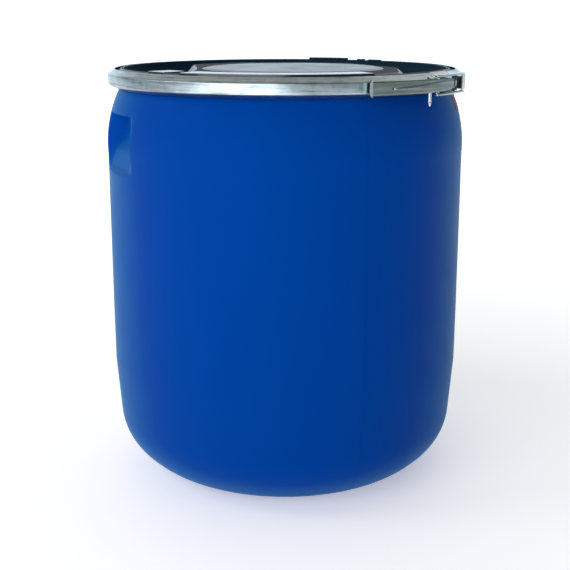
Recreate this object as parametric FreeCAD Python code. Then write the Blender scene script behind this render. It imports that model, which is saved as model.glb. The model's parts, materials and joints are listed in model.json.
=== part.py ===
"""Plastic open head drum: blow-moulded body, plug lid, and a clamp ring with a lever lock.

Units are millimetres. The drum's axis is Z and the floor is z = 0. Bearings are degrees
about Z, counted from the front (-Y) towards +X.
"""
import FreeCAD, Part
import math
import os
from FreeCAD import Vector

UP = Vector(0, 0, 1)
ORIGIN = Vector(0, 0, 0)
PAST = 1.0                    # how far a cut runs past the face it opens

# ---- drum body ----
WALL = 4.0
BODY_R = 298.0                # largest radius, about 290 above the floor
FOOT_INNER_R = 150.0          # the drum stands on a flat ring
FOOT_OUTER_R = 180.5
PUSH_UP = 6.0                 # how far the middle of the base is lifted off the floor
PUSH_UP_R = 134.0
# outline of the side as (radius, height): the bottom corner is two arcs, each given by a
# middle and an end point, then come straight stretches, then one arc for the shoulder
CORNER = [((214.6, 7.0), (258.4, 35.1)), ((285.3, 74.8), (290.7, 100.2))]
SIDE = [(297.7, 192.6), (BODY_R, 288.9), (297.2, 550.2)]
SHOULDER = ((292.6, 606.5), (274.6, 655.5))
NECK_R = 274.0                # outside of the neck, below the rim bead
NECK_BORE_R = 269.8
NECK_LOW_Z = 661.0            # where the neck's straight bore begins
BEAD_R = 287.0                # the rim bead that the ring's lower flange grips
BEAD_LOW_Z = 660.0
BEAD_EDGE_Z = 664.5
BEAD_TOP_Z = 674.0
RIM_TOP_Z = 676.5
RIM_ROUND = 2.5               # the rim's outer top edge is cut off by this much

# ---- hand grips, moulded into the shoulder ----
GRIP_BEARINGS = (-66.0, 114.0)
# pocket outlines at growing depth, as (distance from the axis, half width, low z, high z)
GRIP_STEPS = [(306.0, 68.0, 520.0, 618.5), (289.0, 64.0, 532.0, 618.0),
              (281.0, 52.0, 560.0, 617.0), (258.0, 32.0, 590.0, 615.5)]

# ---- lid ----
LID_T = 3.0
SKIRT_R = 289.5               # middle of the skirt's wall
SKIRT_LOW_Z = 668.0
CAP_EDGE_Z = 677.5
CAP_Z = 682.0                 # middle of the flange that covers the rim
CAP_OUT_R = 284.0
CAP_IN_R = 271.5
PLUG_R = 266.8                # middle of the plug wall
PLUG_TOP_Z = 678.0
CHANNEL_Z = 650.0             # middle of the channel floor
CHANNEL_IN_R = 225.0          # the turned channel floor reaches in to here
FLOOR_R = 230.0               # the floor plate under the platform reaches out to here
PLATFORM_TOP_Z = 684.0
PLATFORM_SLOPE = 26.0         # how far its sides lean in
# corners of the platform's foot, counter-clockwise seen from above
PLATFORM = [(-169, -151), (-95, -224), (112, -224), (207, -140), (222, 26), (129, 207),
            (-95, 230), (-189, 151)]
DISC_R = 142.0
DISC_FOOT_R = 150.0
DISC_TOP_Z = 686.5
DISC_X = 13.0
LIP_R = (266.5, 272.5)        # raised lip round the plug's mouth
LIP_TOP_Z = 687.5
# tabs on the lip: first bearing, last bearing, top
TABS = [(139.0, 144.5, 688.6), (146.5, 149.5, 689.0), (154.0, 170.0, 690.5)]
# flat-topped ledges across the channel, open underneath: first bearing, last bearing, top
LEDGES = [(-50.0, -41.5, 690.0), (-35.0, 29.0, 690.5)]
LEDGE_IN_R = 228.0
LEDGE_END_T = 0.7             # thickness of their end walls, in degrees

# ---- gasket, between the lid's flange and the rim ----
GASKET_R = (274.0, 283.0)
GASKET_Z = (676.55, 680.4)

# ---- clamp ring: galvanised band with a gap ----
BAND_T = 1.5
GAP_BEARING = 61.5
HALF_GAP = 0.9
BAND_OUT_R = 295.0
BAND_LOW_Z = 661.0
BAND_HIGH_Z = 679.0
LOW_FLANGE = (278.0, 656.0)   # inner edge of the lower flange
HIGH_FLANGE = (280.0, 687.2)  # inner edge of the upper flange
# the band's corners between web and flanges: how far in from the web's edge and beyond it
FOLD_IN = 2.2
FOLD_START = 1.0
LOW_FOLD = 1.8
HIGH_FOLD = 1.6

# ---- lever lock ----
PIVOT_R = 302.6               # all three pivots lie on this circle
LEVER_PIVOT = 58.6            # bearing of the lever's own pivot, on ring end A
LINK_PIVOT = 48.7             # bearing of the link's pivot on the lever
PIN_BEARING = 45.5            # bearing of the locking pin
LEVER_END = 22.6              # bearing of the lever's free end
LEVER_IN_R = 297.8
LEVER_OUT_R = 309.4
LEVER_LIP_R = 313.0           # the flared finger lip
LEVER_Z = (657.0, 682.0)
SHEET = 2.0                   # thickness of the lever's flanges
WEB_T = 1.8
NOSE_R = 6.8                  # the lever's end is rounded about its pivot
LEVER_WEB_END = 59.3          # bearing where the lever's web stops
LIP_ANGLE = 0.4               # thickness of the finger lip, in degrees
RIB_BEARINGS = (31.5, 56.0)   # pressed rib along the lever
RIB_Z = (669.3, 669.7)
RIB_T = 1.4
SLOT_BEARINGS = (58.1, 58.7)  # slot near the lever's rounded end
SLOT_Z = (664.0, 675.0)
PLATE_T = 1.5                 # bracket plates welded on the band
SKIN_GAP = 0.02               # air between a bracket and the band it is welded on
BRACKET_INSET = 0.5           # bracket A stops this far short of the web's two edges
BRACKET_SPAN = 9.0            # its length, in degrees
TAB_BEARINGS = (50.5, 60.6)   # tab of bracket A, folded over the band's upper flange
KNUCKLE_NECK = (57.9, 59.1)   # bearings of the neck that carries the knuckle
HOOK_PLATE_END = 65.2
HOOK_POST = (63.0, 63.6)
HOOK_LIP_END = 64.3
HOOK_R = 306.0
HOOK_PLATE_Z = (657.2, 682.0)
HOOK_Z = (663.5, 676.5)        # the hook is narrower than its plate
PIVOT_PIN_R = 2.0
KNUCKLE_R = 4.6
RUNNING = 0.05                # radial clearance of every turning fit
LINK_R = (300.6, 308.6)
LINK_END = 67.7
LINK_END_ANGLE = 0.5
LINK_WEB_START = 64.4         # the link's outer web runs from here to its end
ARM_T = 1.8
ARM_GAP = 0.4                 # air between a link arm and the lever's flange
RIVET_R = 2.2
RIVET_HEAD_R = 3.8
RIVET_HEAD_T = 1.4
RIVET_GAP = 0.1               # air under a rivet's inner head
PIN_R = 2.4
PIN_HEAD_R = 4.4
PIN_HEAD_T = 2.4
PIN_TIP_Z = 639.0
PIN_TAPER = 6.0
PIN_TIP_R = 0.6
PIN_HOLE_R = 1.2
PIN_HOLE_Z = 649.0
PIN_CLEARANCE = 0.1
PIN_HEAD_GAP = 0.05           # air between the pin's head and the lever

# ---- red label on the shoulder ----
LABEL_T = 0.5
LABEL_BEARINGS = (73.0, 86.0)
LABEL_Z = (619.5, 649.5)


def place(radius, bearing, z=0.0):
    """The point at a radius, bearing and height."""
    angle = math.radians(bearing)
    return Vector(radius * math.sin(angle), -radius * math.cos(angle), z)


def outline(points):
    """A closed face in the XZ plane through (radius, height) points."""
    corners = [Vector(r, 0, z) for r, z in points]
    return Part.Face(Part.makePolygon(corners + corners[:1]))


def turned(face, first=None, last=None):
    """Revolve a section about Z, all the way or from one bearing to another."""
    if first is None:
        return face.revolve(ORIGIN, UP, 360)
    start = face.copy()
    start.rotate(ORIGIN, UP, first - 90.0)
    return start.revolve(ORIGIN, UP, last - first)


def block(inner_r, outer_r, low_z, high_z, first=None, last=None):
    """A rectangular section turned about Z."""
    corners = [(inner_r, low_z), (outer_r, low_z), (outer_r, high_z), (inner_r, high_z)]
    return turned(outline(corners), first, last)


def beside(points, distance):
    """A (radius, height) line moved to its left by a distance, its corners mitred."""
    moved = []
    for i, (r, z) in enumerate(points):
        before = points[max(i - 1, 0)]
        after = points[min(i + 1, len(points) - 1)]
        normals = []
        for (r0, z0), (r1, z1) in ((before, (r, z)), ((r, z), after)):
            length = math.hypot(r1 - r0, z1 - z0)
            if length > 0:
                normals.append(((z0 - z1) / length, (r1 - r0) / length))
        nr = sum(n[0] for n in normals) / len(normals)
        nz = sum(n[1] for n in normals) / len(normals)
        reach = distance / (nr * nr + nz * nz)
        moved.append((r + nr * reach, z + nz * reach))
    return moved


def strip(points, thickness):
    """Closed (radius, height) outline of a sheet whose middle line is given."""
    return beside(points, thickness / 2) + beside(points, -thickness / 2)[::-1]


def rod(radius, low_z, high_z, bearing, at_r=PIVOT_R):
    """A vertical cylinder."""
    return Part.makeCylinder(radius, high_z - low_z, place(at_r, bearing, low_z), UP)


def at(point):
    return Vector(point[0], 0, point[1])


def bow(start, middle, end):
    """An arc in the XZ plane through three (radius, height) points."""
    return Part.Arc(at(start), at(middle), at(end)).toShape()


def shoulder():
    return bow(SIDE[-1], *SHOULDER)


def side():
    """The outside of the body in section, from the middle of the base to the neck."""
    points = [(0, PUSH_UP), (PUSH_UP_R, PUSH_UP), (FOOT_INNER_R, 0), (FOOT_OUTER_R, 0)]
    edges = Part.makePolygon([at(p) for p in points]).Edges
    end = points[-1]
    for middle, corner_end in CORNER:
        edges.append(bow(end, middle, corner_end))
        end = corner_end
    edges += Part.makePolygon([at(p) for p in [end] + SIDE]).Edges
    return Part.Wire(edges + [shoulder()])


def moved_in(wire, distance):
    """The wire moved towards the inside of the drum, or outwards if negative."""
    return wire.makeOffset2D(distance, 2, False, True)


def body_section(wall):
    """Section of the drum filled solid; with a wall, that of the space inside."""
    if wall:
        wire = moved_in(side(), wall)
        neck = [(NECK_BORE_R, NECK_LOW_Z), (NECK_BORE_R, RIM_TOP_Z + PAST)]
    else:
        wire = side()
        neck = [(NECK_R, BEAD_LOW_Z), (BEAD_R, BEAD_EDGE_Z), (BEAD_R, BEAD_TOP_Z),
                (BEAD_R - RIM_ROUND, RIM_TOP_Z)]
    ends = sorted((v.Point for v in wire.Vertexes), key=lambda point: point.z)
    axis_point = min((v.Point for v in wire.Vertexes), key=lambda point: point.x)
    top = [at(p) for p in neck]
    top.append(Vector(0, 0, top[-1].z))
    base = [Vector(0, 0, axis_point.z)]
    if axis_point.x > 0:
        base.append(axis_point)
    line = Part.makePolygon([ends[-1]] + top + base)
    return Part.Face(Part.Wire(wire.Edges + line.Edges))


def grip(bearing, extra=0.0):
    """The pocket of one hand grip, or the same grown by a wall thickness."""
    out = place(1, bearing)
    across = place(1, bearing + 90)
    rings = []
    for reach, half, low, high in GRIP_STEPS:
        half, low, high = half + extra, low - extra, high + extra
        middle = out * (reach - extra)
        corners = [middle + across * (s * half) + UP * z
                   for s, z in ((-1, low), (1, low), (1, high), (-1, high))]
        rings.append(Part.makePolygon(corners + corners[:1]))
    return Part.makeLoft(rings, True, True)


def drum_body():
    solid = turned(body_section(0))
    space = turned(body_section(WALL))
    for bearing in GRIP_BEARINGS:
        solid = solid.cut(grip(bearing))
        space = space.cut(grip(bearing, WALL))
    return solid.cut(space)


def frustum(corners, lean, low_z, high_z):
    """A straight-sided block on a convex outline, its sides leaning in."""
    size = sum(math.hypot(x, y) for x, y in corners) / len(corners)
    shrink = 1 - lean / size
    rings = []
    for scale, z in ((1, low_z), (shrink, high_z)):
        ring = [Vector(x * scale, y * scale, z) for x, y in corners]
        rings.append(Part.makePolygon(ring + ring[:1]))
    return Part.makeLoft(rings, True, True)


def inset(corners, by):
    """The outline scaled in by about a distance."""
    size = sum(math.hypot(x, y) for x, y in corners) / len(corners)
    return [(x * (1 - by / size), y * (1 - by / size)) for x, y in corners]


def lid():
    section = [(SKIRT_R, SKIRT_LOW_Z), (SKIRT_R, CAP_EDGE_Z), (CAP_OUT_R, CAP_Z),
               (CAP_IN_R, CAP_Z), (PLUG_R, PLUG_TOP_Z), (PLUG_R, CHANNEL_Z),
               (CHANNEL_IN_R, CHANNEL_Z)]
    shell = turned(outline(strip(section, LID_T)))
    low = CHANNEL_Z - LID_T / 2
    plate = Part.makeCylinder(FLOOR_R, LID_T, Vector(0, 0, low), UP)
    disc_at = Vector(DISC_X, 0, PLATFORM_TOP_Z)
    raised = frustum(PLATFORM, PLATFORM_SLOPE, low, PLATFORM_TOP_Z)
    raised = raised.fuse(Part.makeCone(DISC_FOOT_R, DISC_R, DISC_TOP_Z - PLATFORM_TOP_Z, disc_at))
    under = frustum(inset(PLATFORM, LID_T), PLATFORM_SLOPE, low - PAST, PLATFORM_TOP_Z - LID_T)
    drop = Vector(0, 0, -LID_T)
    under = under.fuse(Part.makeCone(DISC_FOOT_R - LID_T, DISC_R - LID_T,
                                     DISC_TOP_Z - PLATFORM_TOP_Z, disc_at + drop))
    shape = shell.fuse([plate, raised]).cut(under)
    shape = shape.fuse(block(*LIP_R, CAP_Z, LIP_TOP_Z))
    for first, last, top in TABS:
        shape = shape.fuse(block(*LIP_R, CAP_Z, top, first, last))
    for first, last, top in LEDGES:
        inner = block(LEDGE_IN_R, PLUG_R, low, top, first, last)
        outer = block(PLUG_R, LIP_R[1], CAP_Z, top, first, last)
        hollow = block(LEDGE_IN_R + LID_T, PLUG_R - LID_T / 2, low - PAST, top - LID_T,
                       first + LEDGE_END_T, last - LEDGE_END_T)
        shape = shape.fuse([inner, outer]).cut(hollow)
    return shape.removeSplitter()


def lid_gasket():
    return block(*GASKET_R, *GASKET_Z)


def band_line():
    """Middle line of the band's section."""
    web_r = BAND_OUT_R - BAND_T / 2
    return [LOW_FLANGE, (web_r - FOLD_IN, BAND_LOW_Z - LOW_FOLD),
            (web_r, BAND_LOW_Z + FOLD_START), (web_r, BAND_HIGH_Z - FOLD_START),
            (web_r - FOLD_IN, BAND_HIGH_Z + HIGH_FOLD), HIGH_FLANGE]


def clamp_band():
    section = outline(strip(band_line(), BAND_T))
    return turned(section, GAP_BEARING + HALF_GAP, GAP_BEARING + 360 - HALF_GAP)


def lever_bracket():
    """Ring end A: a plate on the band, a knuckle for the pivot, a tab on the top flange."""
    low, high = BAND_LOW_Z + BRACKET_INSET, BAND_HIGH_Z - BRACKET_INSET
    last = GAP_BEARING - HALF_GAP
    plate = block(BAND_OUT_R + SKIN_GAP, BAND_OUT_R + PLATE_T, low, high, last - BRACKET_SPAN,
                  last)
    knuckle = rod(KNUCKLE_R, low, high, LEVER_PIVOT)
    neck = block(BAND_OUT_R + PLATE_T, PIVOT_R, low, high, *KNUCKLE_NECK)
    hole = rod(PIVOT_PIN_R + RUNNING, low - PAST, high + PAST, LEVER_PIVOT)
    fold = band_line()[-3:]
    fold.insert(0, (fold[0][0], fold[0][1] - 2 * PLATE_T))
    line = beside(fold, -(BAND_T + PLATE_T) / 2 - SKIN_GAP)
    tab = turned(outline(strip(line, PLATE_T)), *TAB_BEARINGS)
    return plate.fuse([knuckle, neck, tab]).cut(hole).removeSplitter()


def hook_bracket():
    """Ring end B: a plate on the band, with a hook that the link's closed end holds."""
    first = GAP_BEARING + HALF_GAP
    plate = block(BAND_OUT_R + SKIN_GAP, BAND_OUT_R + PLATE_T, *HOOK_PLATE_Z, first,
                  HOOK_PLATE_END)
    low, high = HOOK_Z
    post = block(BAND_OUT_R + PLATE_T / 2, HOOK_R, low, high, *HOOK_POST)
    lip = block(HOOK_R - PLATE_T, HOOK_R, low, high, HOOK_POST[0], HOOK_LIP_END)
    return plate.fuse([post, lip]).removeSplitter()


def lever():
    """Channel that follows the ring, with a rounded nose and a flared finger lip."""
    low, high = LEVER_Z
    shape = block(LEVER_OUT_R - WEB_T, LEVER_OUT_R, low, high, LEVER_END, LEVER_WEB_END)
    for z in (low, high - SHEET):
        flange = block(LEVER_IN_R, LEVER_OUT_R, z, z + SHEET, LEVER_END, LEVER_PIVOT)
        nose = rod(NOSE_R, z, z + SHEET, LEVER_PIVOT)
        shape = shape.fuse([flange, nose])
    lip = block(LEVER_IN_R, LEVER_LIP_R, low, high, LEVER_END - LIP_ANGLE, LEVER_END)
    rib = block(LEVER_OUT_R - WEB_T / 2, LEVER_OUT_R + RIB_T, *RIB_Z, *RIB_BEARINGS)
    shape = shape.fuse([lip, rib])
    holes = [block(LEVER_OUT_R - WEB_T - PAST, LEVER_OUT_R + PAST, *SLOT_Z, *SLOT_BEARINGS),
             rod(PIVOT_PIN_R, low - PAST, high + PAST, LEVER_PIVOT),
             rod(RIVET_R + RUNNING, low - PAST, high + PAST, LINK_PIVOT),
             rod(PIN_R + PIN_CLEARANCE, low - PAST, high + PAST, PIN_BEARING)]
    return shape.cut(holes).removeSplitter()


def lever_pivot_pin():
    return rod(PIVOT_PIN_R, *LEVER_Z, LEVER_PIVOT)


def link_arms():
    """Low and high z of the two arms, below and above the lever."""
    low, high = LEVER_Z
    return ((low - ARM_GAP - ARM_T, low - ARM_GAP), (high + ARM_GAP, high + ARM_GAP + ARM_T))


def link_strap():
    arms = link_arms()
    end = block(*LINK_R, arms[0][0], arms[1][1], LINK_END - LINK_END_ANGLE, LINK_END)
    web = block(LINK_R[1] - ARM_T, LINK_R[1], arms[0][0], arms[1][1], LINK_WEB_START, LINK_END)
    shape = end.fuse(web)
    for low, high in arms:
        arm = block(*LINK_R, low, high, LINK_PIVOT, LINK_END)
        eye = rod((LINK_R[1] - LINK_R[0]) / 2, low, high, LINK_PIVOT, sum(LINK_R) / 2)
        shape = shape.fuse([arm, eye])
    holes = rod(RIVET_R, arms[0][0] - PAST, arms[1][1] + PAST, LINK_PIVOT)
    return shape.cut(holes).removeSplitter()


def link_rivets():
    """Two rivets, one through each arm and the lever's flange under it."""
    lower, upper = link_arms()
    low, high = LEVER_Z
    rivets = []
    for outer, face, step in ((upper[1], high - SHEET, 1), (lower[0], low + SHEET, -1)):
        flange = face - step * RIVET_GAP
        ends = sorted((outer + step * RIVET_HEAD_T, flange - step * RIVET_HEAD_T))
        shank = rod(RIVET_R, ends[0], ends[1], LINK_PIVOT)
        heads = [rod(RIVET_HEAD_R, *sorted((outer, outer + step * RIVET_HEAD_T)), LINK_PIVOT),
                 rod(RIVET_HEAD_R, *sorted((flange, flange - step * RIVET_HEAD_T)), LINK_PIVOT)]
        rivets.append(shank.fuse(heads).removeSplitter())
    return Part.makeCompound(rivets)


def locking_pin():
    top = LEVER_Z[1] + PIN_HEAD_GAP
    taper_z = PIN_TIP_Z + PIN_TAPER
    shank = rod(PIN_R, taper_z, top + PIN_HEAD_T, PIN_BEARING)
    tip = Part.makeCone(PIN_TIP_R, PIN_R, PIN_TAPER, place(PIVOT_R, PIN_BEARING, PIN_TIP_Z), UP)
    head = rod(PIN_HEAD_R, top, top + PIN_HEAD_T, PIN_BEARING)
    hole = Part.makeCylinder(PIN_HOLE_R, 4 * PIN_R,
                             place(PIVOT_R - 2 * PIN_R, PIN_BEARING, PIN_HOLE_Z),
                             place(1, PIN_BEARING))
    return shank.fuse([tip, head]).cut(hole).removeSplitter()


def shoulder_label():
    """A thin sticker that follows the shoulder."""
    near, far = (moved_in(Part.Wire([shoulder()]), -gap) for gap in (SKIN_GAP, LABEL_T))
    (a, b), (c, d) = ([v.Point for v in wire.Vertexes] for wire in (near, far))
    line = Part.Wire([near.Edges[0], Part.makeLine(b, d), far.Edges[0], Part.makeLine(c, a)])
    skin = turned(Part.Face(line), *LABEL_BEARINGS)
    slab = Part.makeBox(4 * BODY_R, 4 * BODY_R, LABEL_Z[1] - LABEL_Z[0],
                        Vector(-2 * BODY_R, -2 * BODY_R, LABEL_Z[0]))
    return skin.common(slab)


NODES = [drum_body, shoulder_label, lid, lid_gasket, clamp_band, lever_bracket, hook_bracket,
         lever, lever_pivot_pin, link_strap, link_rivets, locking_pin]

os.makedirs("parts", exist_ok=True)
for make in NODES:
    shape = make()
    box = shape.BoundBox
    print(f"{make.__name__:18s} solids {len(shape.Solids)} valid {shape.isValid()} "
          f"cm3 {shape.Volume / 1000:9.2f}  z {box.ZMin:7.2f} to {box.ZMax:7.2f} "
          f"x {box.XMin:7.1f} to {box.XMax:7.1f}")
    shape.exportStep(f"parts/{make.__name__}.step")
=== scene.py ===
import json
import math

import bmesh
import bpy
import numpy as np
from mathutils import Matrix, Vector


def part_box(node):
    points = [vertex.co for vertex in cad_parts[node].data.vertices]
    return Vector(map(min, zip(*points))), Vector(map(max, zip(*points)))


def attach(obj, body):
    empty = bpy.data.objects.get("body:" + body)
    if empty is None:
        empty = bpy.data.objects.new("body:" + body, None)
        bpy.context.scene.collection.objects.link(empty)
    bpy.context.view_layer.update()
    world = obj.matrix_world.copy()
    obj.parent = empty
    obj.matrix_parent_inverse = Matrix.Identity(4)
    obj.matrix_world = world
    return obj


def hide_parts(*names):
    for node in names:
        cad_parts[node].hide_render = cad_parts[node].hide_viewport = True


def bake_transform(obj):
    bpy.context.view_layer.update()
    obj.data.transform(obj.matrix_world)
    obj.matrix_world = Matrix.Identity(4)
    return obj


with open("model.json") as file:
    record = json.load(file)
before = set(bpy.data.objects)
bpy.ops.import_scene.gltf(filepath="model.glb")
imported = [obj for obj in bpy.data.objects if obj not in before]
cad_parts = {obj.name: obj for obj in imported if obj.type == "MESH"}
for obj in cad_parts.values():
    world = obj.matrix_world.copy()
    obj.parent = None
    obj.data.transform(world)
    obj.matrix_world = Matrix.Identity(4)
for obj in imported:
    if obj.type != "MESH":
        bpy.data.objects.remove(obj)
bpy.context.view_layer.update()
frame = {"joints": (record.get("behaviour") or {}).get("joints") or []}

# Lengths in this script are millimetres, in the frame of the CAD model: the drum's axis is Z,
# the floor is z = 0, and bearings are degrees about Z from the front (-Y) towards +X.
MM = 0.001
JOINTS = {joint["name"]: joint for joint in frame["joints"]}


def corners(node):
    """Lowest and highest corner of a CAD node, in millimetres."""
    low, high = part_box(node)
    return low / MM, high / MM


def bearing_at(x, y):
    """Bearing of a place, in degrees."""
    return math.degrees(math.atan2(x, -y))


def bearing_of(joint):
    """Bearing of a joint's origin, in degrees."""
    return bearing_at(*JOINTS[joint]["pos_m"][:2])


BODY_HIGH = corners("drum_body")[1]
LID_LOW, LID_HIGH = corners("lid")
BAND_HIGH = corners("clamp_band")[1]
LEVER_LOW, LEVER_HIGH = corners("lever")
LINK_LOW, LINK_HIGH = corners("link_strap")
PIN_LOW, PIN_HIGH = corners("locking_pin")
RIVET_LOW, RIVET_HIGH = corners("link_rivets")
LABEL_LOW, LABEL_HIGH = corners("shoulder_label")
GASKET_LOW, GASKET_HIGH = corners("lid_gasket")

BODY_R = BODY_HIGH.x - 0.1              # a little inside the CAD part's facets
RIM_TOP = BODY_HIGH.z
SKIRT_OUT_R = LID_HIGH.x
LID_FLOOR = LID_LOW.z                   # underside of the lid's channel
BAND_R = BAND_HIGH.x
LEVER_MID = (LEVER_LOW.z + LEVER_HIGH.z) / 2
LEVER_HALF = (LEVER_HIGH.z - LEVER_LOW.z) / 2
GAP = bearing_of("band_spread") + 180.0 # the middle of the open ring's gap
PIVOT = bearing_of("lever_swing")
LINK_PIVOT = bearing_of("link_swing")
PIN_BEARING = bearing_at(*((PIN_LOW + PIN_HIGH) / 2).xy)
PIVOT_R = math.hypot(*JOINTS["lever_swing"]["pos_m"][:2]) / MM
TURN_STEP = 2.0                         # degrees between the columns of a whole lathe


# ---------------------------------------------------------------- outlines

def at(radius, bearing, z):
    """A point in metres from a radius, bearing and height in millimetres."""
    angle = math.radians(bearing)
    return Vector((radius * math.sin(angle), -radius * math.cos(angle), z)) * MM


def arc(start, middle, end, steps):
    """Points after start on the arc through three (radius, height) points."""
    (ax, ay), (bx, by), (cx, cy) = start, middle, end
    d = 2 * (ax * (by - cy) + bx * (cy - ay) + cx * (ay - by))
    a2, b2, c2 = ax * ax + ay * ay, bx * bx + by * by, cx * cx + cy * cy
    x = (a2 * (by - cy) + b2 * (cy - ay) + c2 * (ay - by)) / d
    y = (a2 * (cx - bx) + b2 * (ax - cx) + c2 * (bx - ax)) / d
    radius = math.hypot(ax - x, ay - y)
    first = math.atan2(ay - y, ax - x)
    turn = math.atan2(cy - y, cx - x) - first
    turn = (turn + math.pi) % (2 * math.pi) - math.pi
    angles = [first + turn * (i + 1) / steps for i in range(steps)]
    return [(x + radius * math.cos(t), y + radius * math.sin(t)) for t in angles]


def rounded(points, steps=5, closed=False):
    """Round the corners of a line of (radius, height, corner radius) points."""
    result = []
    count = len(points)
    for i, (r, z, bend) in enumerate(points):
        here = Vector((r, z))
        if bend <= 0 or (not closed and i in (0, count - 1)):
            result.append((r, z))
            continue
        before = Vector(points[i - 1][:2]) - here
        after = Vector(points[(i + 1) % count][:2]) - here
        half = before.angle(after) / 2
        reach = min(bend / math.tan(half), 0.48 * before.length, 0.48 * after.length)
        bend = reach * math.tan(half)
        a, b = before.normalized(), after.normalized()
        centre = here + (a + b).normalized() * (bend / math.sin(half))
        first, last = here + a * reach - centre, here + b * reach - centre
        for step in range(steps + 1):
            result.append(tuple(centre + first.slerp(last, step / steps)))
    return result


def filled(points, step, closed=False):
    """Add points along a line so that no stretch is longer than a step."""
    result = []
    ends = points[1:] + points[:1] if closed else points[1:]
    for (r0, z0), (r1, z1) in zip(points, ends):
        parts = max(1, math.ceil(math.hypot(r1 - r0, z1 - z0) / step))
        for i in range(parts):
            share = i / parts
            result.append((r0 + (r1 - r0) * share, z0 + (z1 - z0) * share))
    return result if closed else result + points[-1:]


def beside(points, distance):
    """The line moved to its left by a distance, its corners mitred."""
    moved = []
    for i, (r, z) in enumerate(points):
        before = points[max(i - 1, 0)]
        after = points[min(i + 1, len(points) - 1)]
        normals = []
        for (r0, z0), (r1, z1) in ((before, (r, z)), ((r, z), after)):
            length = math.hypot(r1 - r0, z1 - z0)
            if length > 1e-9:
                normals.append(((z0 - z1) / length, (r1 - r0) / length))
        nr = sum(n[0] for n in normals) / len(normals)
        nz = sum(n[1] for n in normals) / len(normals)
        reach = distance / (nr * nr + nz * nz)
        moved.append((r + nr * reach, z + nz * reach))
    return moved


def sheet_outline(line, thickness, steps=5):
    """Closed outline of a bent sheet from its (radius, height, bend) middle line."""
    middle = rounded(line, steps)
    return beside(middle, thickness / 2) + beside(middle, -thickness / 2)[::-1]


def spread(first, last, step):
    """Evenly spaced values from first to last, no further apart than a step."""
    parts = max(1, math.ceil(abs(last - first) / step))
    return [first + (last - first) * i / parts for i in range(parts + 1)]


def turns(count):
    """Angles evenly spaced once round, in radians."""
    return [2 * math.pi * i / count for i in range(count)]


def bar(inner, outer, low, high, outer_bend, inner_bend=0.0, steps=3):
    """Closed outline of an upright rectangle with rounded corners."""
    return rounded([(inner, low, inner_bend), (outer, low, outer_bend),
                    (outer, high, outer_bend), (inner, high, inner_bend)], steps, closed=True)


# ---------------------------------------------------------------- meshes

def quads(rows, columns, round_rows, round_columns):
    """Faces over a grid of points, its last row or column joined to the first if round."""
    faces = []
    for i in range(rows if round_rows else rows - 1):
        low, high = i * columns, (i + 1) % rows * columns
        for j in range(columns if round_columns else columns - 1):
            k = (j + 1) % columns
            faces.append((low + j, low + k, high + k, high + j))
    return faces


def new_object(name, points, faces):
    """A mesh object in the scene, from points in metres."""
    mesh = bpy.data.meshes.new(name)
    mesh.from_pydata(points, [], faces)
    mesh.validate()
    obj = bpy.data.objects.new(name, mesh)
    bpy.context.scene.collection.objects.link(obj)
    return obj


def edit(obj, change):
    """Run a change on the object's bmesh."""
    work = bmesh.new()
    work.from_mesh(obj.data)
    change(work)
    work.to_mesh(obj.data)
    work.free()
    obj.data.update()


def tidy(obj, sharp=32.0):
    """Merge doubled points, face the faces outwards and smooth all but the sharp edges."""
    def change(work):
        bmesh.ops.remove_doubles(work, verts=work.verts, dist=0.01 * MM)
        bmesh.ops.recalc_face_normals(work, faces=work.faces)
        for face in work.faces:
            face.smooth = True
        for edge in work.edges:
            edge.smooth = edge.calc_face_angle(0.0) < math.radians(sharp)
    edit(obj, change)
    return obj


def lathe(name, outline, bearings=None, closed=False, move=None):
    """Turn an outline about Z: all round, or over bearings with the ends closed.

    closed joins the outline's last point to its first. move(radius, bearing, z, index) may
    return another point, in metres.
    """
    bearings = bearings or spread(0.0, 360.0, TURN_STEP)
    whole = bearings[-1] - bearings[0] > 359.9
    if whole:
        bearings = bearings[:-1]
    place = move or (lambda r, b, z, i: at(r, b, z))
    points = [place(r, b, z, i) for i, (r, z) in enumerate(outline) for b in bearings]
    rows, columns = len(outline), len(bearings)
    faces = quads(rows, columns, closed, whole)
    if closed and not whole:
        faces.append([i * columns for i in range(rows)])
        faces.append([i * columns + columns - 1 for i in range(rows)])
    return new_object(name, points, faces)


def join(target, others):
    """Add the others' meshes to the target's and remove them."""
    def change(work):
        for other in others:
            work.from_mesh(other.data)
    edit(target, change)
    for other in others:
        bpy.data.objects.remove(other)
    return target


def applied(obj):
    """Replace the object's mesh by what its modifiers make of it."""
    graph = bpy.context.evaluated_depsgraph_get()
    mesh = bpy.data.meshes.new_from_object(obj.evaluated_get(graph))
    obj.modifiers.clear()
    obj.data = mesh
    return obj


def cut(obj, cutter):
    """Take the cutter's volume away from the object."""
    modifier = obj.modifiers.new("cut", "BOOLEAN")
    modifier.operation = "DIFFERENCE"
    modifier.solver = "EXACT"
    modifier.object = cutter
    applied(obj)
    bpy.data.objects.remove(cutter)


def bevelled(obj, width):
    """Round the object's edges."""
    modifier = obj.modifiers.new("edges", "BEVEL")
    modifier.width = width * MM
    modifier.segments = 3
    modifier.limit_method = "ANGLE"
    modifier.angle_limit = math.radians(30.0)
    return applied(obj)


def prism(name, rings):
    """A solid through rings of points in metres, each with the same count, ends closed."""
    count = len(rings[0])
    points = [p for ring in rings for p in ring]
    ends = [list(range(count)), list(range(len(points) - count, len(points)))]
    return new_object(name, points, ends + quads(len(rings), count, False, True))


def spindle(name, outline, radius, bearing, steps=32):
    """A small turned piece on a vertical axis at a radius and bearing."""
    centre = at(radius, bearing, 0.0)
    points = [centre + at(r, i * 360 / steps, z) for r, z in outline for i in range(steps)]
    return new_object(name, points, quads(len(outline), steps, False, True))


# ---------------------------------------------------------------- shaders

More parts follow.
